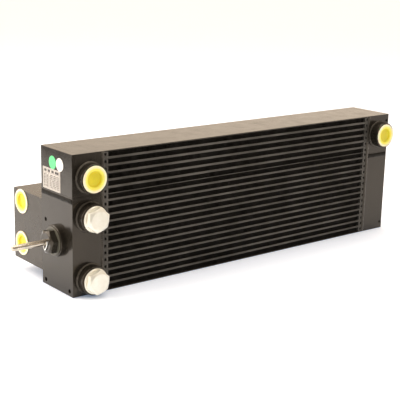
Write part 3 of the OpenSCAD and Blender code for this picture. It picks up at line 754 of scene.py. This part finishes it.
passage_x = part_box("port_block")[1].x - PASSAGE_INSET
passages = [
    drill("passage", Vector((passage_x, REAR_Y + CUT_PAST, z)), FRONT, PASSAGE_R, SIDE_WALL + 2 * CUT_PAST)
    for z in (mid("block_upper_port_cap").z, mid("block_lower_port_cap").z)
]
gallery = mid("gallery_plug")
edge_low, edge_high = bolt_holes("right_edge_holes", SCREW_R, SCREW_DEPTH)
tank("left_upper_header", "left_upper_tank")
tank("left_lower_header", "left_lower_tank", [
    *bolt_holes("left_end_holes", BOLT_R, BOLT_DEPTH), *passages,
    drill("valve_bore", VALVE_AT + CUT_PAST * LEFT, RIGHT, VALVE_BORE_R, END_WALL + 2 * CUT_PAST),
    drill("gallery", Vector((LEFT_X - CUT_PAST, gallery.y, gallery.z)), RIGHT, GALLERY_R, GALLERY_DEPTH + CUT_PAST, 32),
])
tank("right_upper_header", "right_upper_tank", [edge_high])
tank("right_lower_header", "right_lower_tank", [*bolt_holes("right_end_holes", BOLT_R, BOLT_DEPTH), edge_low])
for side in ("left", "right"):
    casing(f"{side}_header_divider", f"{side}_divider", 0.3 * MM)
    for level in ("top", "bottom"):
        node = f"{side}_{level}_cap"
        low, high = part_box(f"core_{level}_plate")
        low = low - Vector((0, CUT_PAST, CUT_PAST * (level == "bottom")))
        high = high + Vector((0, CUT_PAST, CUT_PAST * (level == "top")))
        closure = block(f"{side}_{level}_closure", *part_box(node))
        piece(carve(closure, [block("lap", low, high)], 0.12 * MM), BLACK, nodes=[node])
for node in ("valve_bridge", "pass_baffle"):
    frame["nodes"][node].data.materials.clear()
    frame["nodes"][node].data.materials.append(ALUMINIUM)


# ---- Ports ----

def bored(name, outside, depth, point, axis, material, nodes=()):
    """A turned sleeve with a threaded bore, a seal recess at its mouth, and the outside given as (r, z) points.
    z is 0 at the mouth and negative inwards."""
    thread = thread_rows(BORE_R, -depth, -MOUTH_DEPTH - 0.6 * MM, THREAD_DEPTH)
    mouth = [
        (BORE_R + 0.6 * MM, -MOUTH_DEPTH), (MOUTH_R - 0.3 * MM, -MOUTH_DEPTH), (MOUTH_R, -MOUTH_DEPTH + 0.3 * MM),
        (MOUTH_R, -0.5 * MM), (MOUTH_R + 0.5 * MM, 0),
    ]
    outline = thread + mouth + outside
    return piece(lathe(name, outline, point, axis, closed=True), material, nodes=nodes, angle=30)


def boss(name, node):
    low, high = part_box(node)
    stand = FRONT_Y - low.y
    mouth = Vector((mid(node).x, low.y, mid(node).z))
    radius = (high.x - low.x) / 2
    edge = 0.9 * MM
    outside = [
        (radius - edge, 0), (radius - 0.35 * edge, -0.2 * edge), (radius - 0.05 * edge, -0.65 * edge),
        (radius, -1.1 * edge), (radius, -stand), (SPIGOT_R, -stand), (SPIGOT_R, -stand - SIDE_WALL),
    ]
    return bored(name, outside, stand + SIDE_WALL, mouth, FRONT, BLACK, [node])


for node in BOSSES:
    boss(node.replace("_boss", "_port"), node)


def cap(name, node, body, axis, face):
    """A push-in cap: a shank, a flange with a rolled rim, and a finger recess with a moulding nib."""
    low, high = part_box(node)
    sizes = sorted(high - low)
    flange_r = sizes[2] / 2
    shank_r, shank_l = 17.8 * MM, 3.6 * MM
    flange_t = sizes[0] - shank_l
    recess_r, floor = 12.7 * MM, -2.2 * MM
    outline = fillet([
        (0, -shank_l), (shank_r - 0.6 * MM, -shank_l), (shank_r, -shank_l + 0.8 * MM), (shank_r, 0),
        (flange_r, 0, 0.3 * MM), (flange_r, flange_t, 0.8 * MM), (17.6 * MM, flange_t - 0.1 * MM, 0.4 * MM),
        (17.0 * MM, flange_t - 0.5 * MM, 0.4 * MM), (recess_r + 1.4 * MM, flange_t - 0.5 * MM, 0.8 * MM),
        (recess_r + 0.1 * MM, flange_t - 1.8 * MM, 0.6 * MM), (recess_r - 0.6 * MM, floor, 0.9 * MM),
        (1.6 * MM, floor, 0.3 * MM), (1.2 * MM, floor + 0.5 * MM, 0.3 * MM), (0, floor + 0.55 * MM),
    ], False, steps=6)
    obj = lathe(name, outline, face, axis)
    rim = obj.data.attributes.new("rim", "FLOAT", "POINT")
    for v in obj.data.vertices:
        out = v.co - face
        rim.data[v.index].value = (out - axis * out.dot(axis)).length / flange_r
    return piece(obj, YELLOW, body, [node], 50)


for side in ("left", "right"):
    node = f"upper_{side}_port_cap"
    face = Vector((mid(node).x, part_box(f"upper_{side}_boss")[0].y, mid(node).z))
    cap(f"yellow_cap_upper_{side}", node, f"upper_{side}_cap", FRONT, face)
for level in ("upper", "lower"):
    node = f"block_{level}_port_cap"
    cap(f"yellow_cap_block_{level}", node, f"block_{level}_cap", LEFT, Vector((LEFT_X, mid(node).y, mid(node).z)))


def torus(name, node, axis, radius, section, body=STATIC, rows=20):
    """A seal ring about the middle of its CAD node."""
    turns = [math.tau * k / rows for k in range(rows)]
    outline = [(radius + section * math.cos(a), section * math.sin(a)) for a in turns]
    piece(lathe(name, outline, mid(node), axis, closed=True), SEAL, body, [node], 60)


def plug(level):
    """A screw plug with a turned collar, and its seal ring."""
    name, node = f"{level}_port_plug", f"{level}_hex_plug"
    face = Vector((mid(node).x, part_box(f"{level}_left_boss")[0].y, mid(node).z))
    low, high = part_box(node)
    collar_r = (high.x - low.x) / 2
    head_h, collar_t, neck_r, thread_r = 10.5 * MM, 4.2 * MM, 14.2 * MM, 15.42 * MM
    length = high.y - face.y
    thread = thread_rows(thread_r, -length + 0.8 * MM, -MOUTH_DEPTH - 0.5 * MM, -0.95 * MM)
    outline = [(0, -length), (thread_r - 1.1 * MM, -length)] + thread
    outline += [(neck_r, -MOUTH_DEPTH), (neck_r, 0)]
    outline += fillet([
        (neck_r, 0), (collar_r - 1.0 * MM, 0, 0.3 * MM), (collar_r, 1.2 * MM, 0.5 * MM),
        (collar_r, collar_t - 1.1 * MM, 0.5 * MM), (collar_r - 1.2 * MM, collar_t, 0.4 * MM),
        (17 * MM, collar_t, 0.2 * MM), (0, collar_t),
    ], False)[1:]
    body = lathe(name, outline, face, FRONT)
    head = hex_solid("head", HEX_ACROSS, head_h, face + FRONT * collar_t, FRONT, math.radians(20), 0.25 * MM)
    piece(join(name, body, head), ZINC, f"{level}_plug", [node], 24)
    torus(f"{level}_o_ring", f"{level}_plug_seal", REAR, 16.1 * MM, 1.6 * MM, f"{level}_seal")


plug("middle")
plug("lower")


# ---- Rear port block ----

def port_block():
    low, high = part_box("port_block")
    ports = [Vector((LEFT_X, mid(n).y, mid(n).z)) for n in ("block_upper_port_cap", "block_lower_port_cap")]
    sleeve_l = 21 * MM
    cutters = []
    for port in ports:
        cutters.append(drill("sleeve", port + CUT_PAST * LEFT, RIGHT, SPIGOT_R, sleeve_l + CUT_PAST))
        cutters.append(drill("across", port + sleeve_l * RIGHT, RIGHT, PASSAGE_R, passage_x - LEFT_X - sleeve_l))
        start = Vector((passage_x, low.y - CUT_PAST, port.z))
        cutters.append(drill("passage", start, REAR, PASSAGE_R, port.y - low.y + CUT_PAST))
    piece(carve(block("rear_port_block", low, high), cutters, 0.9 * MM, 4), CAST_BLACK, nodes=["port_block"])
    outside = [(SPIGOT_R, 0), (SPIGOT_R, -sleeve_l)]
    for name, port in zip(("block_upper_port", "block_lower_port"), ports):
        bored(name, outside, sleeve_l, port, LEFT, CAST_BLACK)


port_block()


# ---- Bypass valve ----

def ring_part(name, node, inner_r, chamfer, material):
    """A flat turned ring on the valve's axis, chamfered on its outer edge."""
    low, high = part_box(node)
    radius, thick = (high.z - low.z) / 2, high.x - low.x
    face = Vector((low.x, VALVE_AT.y, VALVE_AT.z))
    outline = fillet([
        (inner_r, -thick, 0), (inner_r, 0, 0.2 * MM), (radius - chamfer, 0, 0.3 * MM), (radius, -chamfer, 0.3 * MM),
        (radius, -thick, 0),
    ], True)
    return piece(lathe(name, outline, face, LEFT, closed=True), material, nodes=[node])


ring_part("valve_seat_boss", "valve_boss", VALVE_BORE_R, 0.9 * MM, BLACK)
ring_part("valve_sealing_washer", "valve_washer", VALVE_BORE_R, 0.3 * MM, WASHER)


def valve_head():
    """The hexagon outside and the spring housing inside, bored for the stem."""
    low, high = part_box("valve_body")
    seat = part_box("valve_washer")[0].x
    stem_r = (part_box("valve_stem")[1].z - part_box("valve_stem")[0].z) / 2
    bore = stem_r + 0.05 * MM
    at = Vector((seat, VALVE_AT.y, VALVE_AT.z))
    head_l = seat - low.x
    head = hex_solid("valve_hexagon", HEX_ACROSS, head_l, at, LEFT, math.radians(10), 0.3 * MM, (bore, head_l))
    piece(head, VALVE, nodes=["valve_body"], angle=24)
    outer_r, chamber_r, chamber_x = 15 * MM, 11.9 * MM, LEFT_X + 1 * MM
    inner = fillet([
        (bore, 0, 0), (outer_r, 0, 0), (outer_r, seat - high.x, 0.4 * MM), (chamber_r, seat - high.x, 0.3 * MM),
        (chamber_r, seat - chamber_x, 0.3 * MM), (bore, seat - chamber_x, 0),
    ], True)
    piece(lathe("valve_spring_housing", inner, at, LEFT, closed=True), VALVE)


def stem_and_poppet():
    """The rod with the groove near its tip, and the poppet on its inner end."""
    low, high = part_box("valve_stem")
    r, length = (high.z - low.z) / 2, high.x - low.x
    tip = Vector((low.x, VALVE_AT.y, VALVE_AT.z))
    outline = fillet([
        (0, -length), (r, -length, 0), (r, -9.0 * MM, 0.2 * MM), (r - 0.5 * MM, -8.6 * MM, 0.2 * MM),
        (r - 0.5 * MM, -7.4 * MM, 0.2 * MM), (r, -7.0 * MM, 0.2 * MM), (r, -1.4 * MM, 0.8 * MM),
        (r - 1.4 * MM, 0, 0.8 * MM), (0, 0),
    ], False)
    piece(lathe("bypass_stem_rod", outline, tip, LEFT, steps=64), STEM, "bypass_stem", ["valve_stem"])
    low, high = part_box("valve_poppet")
    r, face = (high.z - low.z) / 2, Vector((low.x, VALVE_AT.y, VALVE_AT.z))
    disc_t, length = 4 * MM, high.x - low.x
    outline = fillet([
        (0, 0), (r, 0, 0.4 * MM), (r, disc_t, 0.4 * MM), (6.5 * MM, disc_t, 0.3 * MM),
        (5 * MM, length, 0.5 * MM), (0, length),
    ], False)
    piece(lathe("bypass_poppet", outline, face, RIGHT, steps=64), STEM, "bypass_stem", ["valve_poppet"])


def tube(bm, path, radius, sides=12):
    """A round wire along a path of points."""
    tangents = [(b - a).normalized() for a, b in zip([path[0]] + path[:-1], path[1:] + [path[-1]])]
    section = [(radius * math.cos(math.tau * k / sides), radius * math.sin(math.tau * k / sides)) for k in range(sides)]
    up = tangents[0].orthogonal()
    ups = []
    for t in tangents:
        up = (up - t * up.dot(t)).normalized()
        ups.append(up)
    swept(bm, path, tangents, ups, lambda i, share: section)


def spring():
    """A wound wire along the valve's axis."""
    low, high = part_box("valve_spring")
    wire_r, turns, steps = 1.1 * MM, 6, 28
    coil_r = (high.z - low.z) / 2 - wire_r
    path = []
    for i in range(turns * steps + 1):
        a = math.tau * i / steps
        x = low.x + wire_r + (high.x - low.x - 2 * wire_r) * i / (turns * steps)
        path.append(Vector((x, VALVE_AT.y + coil_r * math.cos(a), VALVE_AT.z + coil_r * math.sin(a))))
    bm = bmesh.new()
    tube(bm, path, wire_r)
    coil = piece(object_from("bypass_spring", bm), WIRE, nodes=["valve_spring"], angle=50)
    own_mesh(coil)


def clip():
    """One bent wire: down one side of the stem, round the tip below it, and up the other side."""
    low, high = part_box("stem_clip")
    r = (high.x - low.x) / 2
    half, top, knee, foot = (high.y - low.y) / 2 - r, high.z - r, VALVE_AT.z - 3 * MM, low.z + r
    corners = [(-half, top), (-half, knee, 5 * MM), (0, foot - 0.9 * MM, 1.6 * MM), (half, knee, 5 * MM), (half, top)]
    flat = fillet(corners, False, steps=10)
    path = [Vector((low.x + r, VALVE_AT.y + p.x, max(p.y, foot))) for p in flat]
    bm = bmesh.new()
    tube(bm, path, r)
    piece(object_from("stem_wire_clip", bm), WIRE, nodes=["stem_clip"], angle=50)


valve_head()
stem_and_poppet()
spring()
clip()
torus("stem_o_ring", "stem_seal", RIGHT, 5.7 * MM, 1.0 * MM)


def gallery_screw():
    low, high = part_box("gallery_plug")
    face = Vector((low.x, mid("gallery_plug").y, mid("gallery_plug").z))
    radius = (high.z - low.z) / 2
    outline = fillet([
        (0, -(high.x - low.x)), (radius, -(high.x - low.x), 0.2 * MM), (radius, 0, 0.4 * MM), (2.0 * MM, 0, 0.2 * MM),
        (1.7 * MM, -2.2 * MM, 0.2 * MM), (0, -2.8 * MM),
    ], False)
    piece(lathe("gallery_set_screw", outline, face, LEFT, steps=48), VALVE, nodes=["gallery_plug"])


gallery_screw()


# ---- Welds ----

def weld(name, node, build, material=WELD):
    bm = bmesh.new()
    build(bm)
    return piece(object_from(name, bm), material, nodes=[node] if node else (), angle=60)


def seam(bm, x, z, seed, front):
    """The bead round a header where its divider is welded in: across the end and rear faces, and the front if asked."""
    out = LEFT if x < 0 else RIGHT
    width, height, short = 8 * MM, 1.2 * MM, 0.5 * MM
    start, end = Vector((x, FRONT_Y + short, z)), Vector((x, REAR_Y - short, z))
    straight_bead(bm, start, end, out, width, height, seed)
    inner = CORE_LEFT - width / 2 if x < 0 else CORE_RIGHT + width / 2
    ends = Vector((x - out.x * short, 0, z)), Vector((inner, 0, z))
    for y, up, wanted in ((REAR_Y, REAR, True), (FRONT_Y, FRONT, front)):
        if wanted:
            a, b = (Vector((p.x, y, p.z)) for p in ends)
            straight_bead(bm, a, b, up, width, height, seed + 1)


def core_seams(bm):
    """Upright beads between core and headers, left out where a boss or the port block covers them."""
    boss_reach = 26.4 * MM
    for x in (CORE_LEFT, CORE_RIGHT):
        stops = []
        for node in BOSSES:
            c = centre_on_front(node)
            across = abs(c.x - x)
            if across < boss_reach:
                half = math.sqrt(boss_reach ** 2 - across ** 2)
                stops.append((c.z - half, c.z + half))
        upright_beads(bm, x, FRONT_Y, FRONT, stops, 5)
        low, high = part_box("block_welds")
        upright_beads(bm, x, REAR_Y, REAR, [(low.z, high.z)] if x < 0 else [], 11)


def upright_beads(bm, x, y, up, stops, seed):
    """Beads from bottom to top, with the (start, end) heights in stops left out."""
    width, height, inset, shortest = 7 * MM, 1.15 * MM, 0.6 * MM, 3 * MM
    start = inset
    for stop, onward in sorted(stops) + [(TOP_Z - inset, None)]:
        if stop - start > shortest:
            ends = Vector((x, y, start)), Vector((x, y, stop))
            straight_bead(bm, *ends, up, width, height, seed + start * 50, 0.35, 3.6 * MM)
        start = onward


def boss_beads(bm):
    width, height = 5.2 * MM, 2.1 * MM
    for i, node in enumerate(BOSSES):
        low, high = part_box(node)
        ring_bead(bm, centre_on_front(node), FRONT, (high.x - low.x) / 2 + 0.1 * MM, width, height, i * 3.1)


def block_beads(bm):
    width, height, inset = 8.4 * MM, 3.1 * MM, 0.4 * MM
    low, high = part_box("port_block")
    for z, up in ((high.z, 1), (low.z, -1)):
        lean = Vector((0, 1, up)).normalized()
        start, end = Vector((low.x + inset, REAR_Y, z)), Vector((high.x - inset, REAR_Y, z))
        straight_bead(bm, start, end, lean, width, height, 20 + up, 0.2, 3 * MM)


# The seam beads take the near-black seam paint, a painted shade of their undercuts.
weld("left_header_seam", "left_seam_weld", lambda bm: seam(bm, LEFT_X, mid("left_seam_weld").z, 1, False), SHADED_SEAM)
weld("right_header_seam", "right_seam_weld", lambda bm: seam(bm, RIGHT_X, mid("right_seam_weld").z, 4, True), SHADED_SEAM)
weld("core_seam_beads", "core_welds", core_seams)
weld("boss_beads", "boss_welds", boss_beads)
weld("block_beads", "block_welds", block_beads)


# ---- Labels ----

def labels():
    """The rating label, with a frame, blocks and rules in place of print, and the two round marks."""
    low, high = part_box("rating_label")
    piece(carve(block("rating_plate", low, high), [], 0.1 * MM), LABEL, nodes=["rating_label"])
    bm = bmesh.new()
    chance = random.Random(3)
    x0, x1 = low.x - 0.04 * MM, low.x + 0.1 * MM

    def rule(y0, y1, z0, z1):
        """A printed stroke, placed in shares of the label from its front lower corner."""
        size = high - low
        add_box(bm, (x0, low.y + y0 * size.y, low.z + z0 * size.z), (x1, low.y + y1 * size.y, low.z + z1 * size.z))

    line, margin = 0.012, 0.035
    for edge in (margin, 0.955):
        rule(margin, 1 - margin, edge, edge + line)
        rule(edge, edge + line, margin, 1 - margin)
    rule(margin, 1 - margin, 0.76, 0.76 + line)
    rule(0.66, 0.68, 0.06, 0.76)
    for y0, y1 in ((0.08, 0.3), (0.36, 0.5), (0.58, 0.72), (0.78, 0.92)):
        rule(y0, y1, 0.8, 0.92)
    for row in range(8):
        z, y = 0.095 + row * 0.08, 0.07
        while y < 0.58:
            end = min(0.62, y + chance.uniform(0.08, 0.22))
            rule(y, end, z, z + 0.042)
            y = end + chance.uniform(0.02, 0.05)
    for column in (0.72, 0.8, 0.88):
        z = 0.09
        while z < 0.68:
            end = min(0.73, z + chance.uniform(0.05, 0.14))
            rule(column, column + 0.045, z, end)
            z = end + 0.025
    piece(object_from("rating_plate_rules", bm), RULES)
    for name, node, material, slot in (
        ("green_mark", "green_dot", GREEN, "green_paint"), ("white_mark", "white_dot", WHITE, "white_film"),
    ):
        a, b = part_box(node)
        r, thick = (b.z - a.z) / 2, b.x - a.x
        outline = fillet([(0, 0), (r, 0, 0), (r, thick * 0.8, 0.1 * MM), (0, thick)], False)
        piece(lathe(name, outline, Vector((b.x, mid(node).y, mid(node).z)), LEFT), material, nodes=[node])


labels()


# ---- Floor, light and camera ----

def plain(name, colour, roughness, glow=0.0):
    """A matt surface for the stage. A faint glow keeps a pale floor white in the shade."""
    m = Nodes(name)
    m.colour(m.blend(m.remap(m.noise(3, 3), 0.4, 0.6), colour, tuple(c * 0.985 for c in colour)))
    sockets(m.shader, {"Roughness": roughness, "Specular IOR Level": 0.2})
    sockets(m.shader, {"Emission Color": (0.5, 0.68, 1.0, 1), "Emission Strength": glow})
    return m.material


def floor():
    bm = bmesh.new()
    bmesh.ops.create_grid(bm, x_segments=8, y_segments=8, size=14)
    obj = object_from("floor", bm)
    obj.location.z = -0.0004
    obj.data.materials.append(plain("pale_floor", (0.91, 0.94, 0.98), 0.7, 0.21))


def area_light(name, place, target, size, power, colour=(1, 1, 1)):
    lamp = bpy.data.lights.new(name, "AREA")
    lamp.shape = "RECTANGLE"
    lamp.size, lamp.size_y = size
    lamp.energy = power
    lamp.color = colour
    obj = bpy.data.objects.new(name, lamp)
    bpy.context.scene.collection.objects.link(obj)
    obj.location = place
    obj.rotation_euler = (Vector(target) - Vector(place)).to_track_quat("-Z", "Y").to_euler()
    obj.visible_camera = False


def dark_card(name, low, high):
    """A black card lying on the floor, which only the gloss of the paint sees."""
    bm = bmesh.new()
    add_box(bm, (*low, 0), (*high, 0.002))
    obj = object_from(name, bm)
    obj.data.materials.append(plain("black_card", (0.01, 0.01, 0.01), 0.9))
    obj.visible_camera = obj.visible_diffuse = obj.visible_shadow = False


def studio():
    """A room that is warm and bright behind and dim in front, white to the lens, and two soft boxes."""
    world = bpy.data.worlds.new("studio")
    bpy.context.scene.world = world
    world.use_nodes = True
    tree = world.node_tree
    way = tree.nodes.new("ShaderNodeVectorMath")
    way.operation = "DOT_PRODUCT"
    way.inputs[1].default_value = Vector((0.25, 0.75, 0.6)).normalized()
    tree.links.new(tree.nodes.new("ShaderNodeTexCoord").outputs["Generated"], way.inputs[0])
    share = tree.nodes.new("ShaderNodeMapRange")
    for name, number in (("From Min", -0.6), ("From Max", 0.7)):
        share.inputs[name].default_value = number
    tree.links.new(way.outputs["Value"], share.inputs["Value"])

    def mixed(factor, one, two):
        """The colour between one and two; one may be another node's output."""
        made = tree.nodes.new("ShaderNodeMix")
        made.data_type = "RGBA"
        tree.links.new(factor, made.inputs["Factor"])
        if isinstance(one, tuple):
            made.inputs[6].default_value = one
        else:
            tree.links.new(one, made.inputs[6])
        made.inputs[7].default_value = two
        return made.outputs[2]

    room = mixed(share.outputs["Result"], (0.27, 0.265, 0.255, 1), (1.38, 1.15, 0.91, 1))
    seen = tree.nodes.new("ShaderNodeLightPath").outputs["Is Camera Ray"]
    tree.links.new(mixed(seen, room, (1.15, 1.15, 1.15, 1)), tree.nodes["Background"].inputs["Color"])
    area_light("left_softbox", (-1.7, 1.2, 1.3), (-0.7, 0.4, 0), (2.2, 2.2), 52, (1, 0.95, 0.9))
    area_light("top_softbox", (0.1, -0.1, 1.7), (0, 0, 0), (1.8, 1.2), 18, (1, 0.98, 0.95))


def camera():
    """The photo's view, from the front left and a little above."""
    azimuth, elevation, roll = math.radians(39.01), math.radians(14.53), math.radians(1.385)
    place = Vector((-1.1541, -1.33665, 0.5545))
    level = Vector((math.sin(azimuth), math.cos(azimuth), 0)) * math.cos(elevation)
    ahead = level - Vector((0, 0, math.sin(elevation)))
    lens = bpy.data.cameras.new("camera")
    lens.lens, lens.sensor_width = 90.15, 36
    lens.clip_start, lens.clip_end = 0.05, 60
    obj = bpy.data.objects.new("camera", lens)
    bpy.context.scene.collection.objects.link(obj)
    turn = ahead.to_track_quat("-Z", "Y").to_matrix().to_4x4() @ Matrix.Rotation(roll, 4, "Z")
    obj.matrix_world = Matrix.Translation(place) @ turn
    bpy.context.scene.camera = obj


floor()
dark_card("front_card", (-1.8, -2.6), (0.3, -0.52))
dark_card("left_card", (-2.2, 0.45), (-0.86, 1.9))
studio()
camera()
bpy.context.scene.view_settings.view_transform = "Standard"
